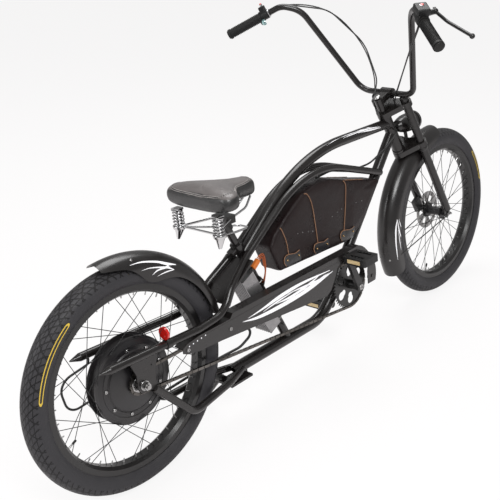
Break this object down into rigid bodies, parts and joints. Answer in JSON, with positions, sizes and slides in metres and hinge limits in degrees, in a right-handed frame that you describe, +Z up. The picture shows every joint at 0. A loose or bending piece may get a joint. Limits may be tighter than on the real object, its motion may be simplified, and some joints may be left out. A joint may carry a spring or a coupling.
{
  "type": "electric chopper bicycle",
  "caption": "Long low black electric bicycle with tall bars, leather battery bag, hub motor and round fenders, on its side stand.",
  "frame": {"origin": "on the floor below the middle of the bounding box, with the machine parked on its stand, leaning 7.9 degrees to its left", "axes": "+X ahead along the wheelbase, +Y to the rider's left, +Z straight up"},
  "size_m": [2.3868, 0.9996, 1.3103],
  "materials": {
    "frame_paint": "satin black paint",
    "tyre_rubber": "matt black tyre rubber",
    "spoke_steel": "dark plated wire",
    "motor_metal": "semi-gloss black coating",
    "black_metal": "black coated metal",
    "plated_steel": "bright plating",
    "chain_steel": "dark oiled steel",
    "saddle_leather": "grained black leather with a grey top",
    "bag_leather": "smooth black leather",
    "bare_aluminium": "ribbed bare aluminium",
    "black_plastic": "black moulded plastic",
    "grip_rubber": "soft black rubber",
    "red_lens": "clear red lens",
    "amber_lens": "pale amber lens",
    "clear_glass": "clear lamp glass"
  },
  "bodies": {
    "frame": {"battery_bag": "bag_leather", "bottom_shell": "frame_paint", "bridge_plate": "frame_paint", "cantilever_tubes": "frame_paint", "chain": "chain_steel", "chain_guard": "frame_paint", "chainstays": "frame_paint", "controller": "bare_aluminium", "down_tube": "frame_paint", "dropouts": "frame_paint", "frame_cables": "grip_rubber", "head_tube": "frame_paint", "keel_tube": "frame_paint", "rear_axle": "plated_steel", "rear_fender": "frame_paint", "reflector": "red_lens", "reflector_bracket": "black_plastic", "saddle": "saddle_leather", "saddle_clamp": "black_plastic", "saddle_rails": "plated_steel", "seat_collar": "frame_paint", "seat_post": "black_metal", "seat_tube": "frame_paint", "stand_bracket": "frame_paint", "top_tube": "frame_paint"},
    "steering": {"steerer": "black_metal", "crown_upper": "frame_paint", "crown_lower": "frame_paint", "fork_legs": "frame_paint", "front_axle": "plated_steel", "front_fender": "frame_paint", "stem": "frame_paint", "handlebar": "frame_paint", "grips": "grip_rubber", "bar_controls": "black_plastic", "brake_lever": "black_plastic", "headlight": "black_metal", "headlight_lens": "clear_glass", "headlight_bracket": "black_plastic", "front_caliper": "black_metal", "bar_cables": "grip_rubber"},
    "front_wheel": {"front_tyre": "tyre_rubber", "front_rim": "frame_paint", "front_spokes": "spoke_steel", "front_hub": "motor_metal", "front_rotor": "plated_steel"},
    "rear_wheel": {"rear_tyre": "tyre_rubber", "rear_rim": "frame_paint", "rear_spokes": "spoke_steel", "hub_motor": "motor_metal", "sprocket": "plated_steel"},
    "cranks": {"crank_right": "black_metal", "crank_left": "black_metal", "crank_spindle": "plated_steel", "chainring": "black_metal"},
    "right_pedal": {"pedal_right": "black_plastic", "pedal_reflectors_right": "amber_lens"},
    "left_pedal": {"pedal_left": "black_plastic", "pedal_reflectors_left": "amber_lens"},
    "stand": {"stand_leg": "black_metal"}
  },
  "joints": [
    {"name": "steering_turn", "type": "hinge", "parent": "frame", "child": "steering", "pos_m": [0.49343, -0.03045, 0.84024], "axis": [-0.4848, 0.1202, 0.8663], "range_deg": [-45, 45]},
    {"name": "front_wheel_spin", "type": "hinge", "parent": "steering", "child": "front_wheel", "pos_m": [0.8415, -0.09861, 0.34902], "axis": [0, 0.9905, -0.1374], "continuous": true},
    {"name": "rear_wheel_spin", "type": "hinge", "parent": "frame", "child": "rear_wheel", "pos_m": [-0.8415, -0.09861, 0.34902], "axis": [0, 0.9905, -0.1374], "continuous": true},
    {"name": "crank_spin", "type": "hinge", "parent": "frame", "child": "cranks", "pos_m": [0.1575, -0.10823, 0.27968], "axis": [0, 0.9905, -0.1374], "continuous": true},
    {"name": "right_pedal_spin", "type": "hinge", "parent": "cranks", "child": "right_pedal", "pos_m": [0.09242, -0.23672, 0.44508], "axis": [0, 0.9905, -0.1374], "continuous": true},
    {"name": "left_pedal_spin", "type": "hinge", "parent": "cranks", "child": "left_pedal", "pos_m": [0.22258, 0.02025, 0.11428], "axis": [0, 0.9905, -0.1374], "continuous": true},
    {"name": "stand_swing", "type": "hinge", "parent": "frame", "child": "stand", "pos_m": [-0.4495, -0.07911, 0.14035], "axis": [0, 0.9905, -0.1374], "range_deg": [0, 78]}
  ]
}
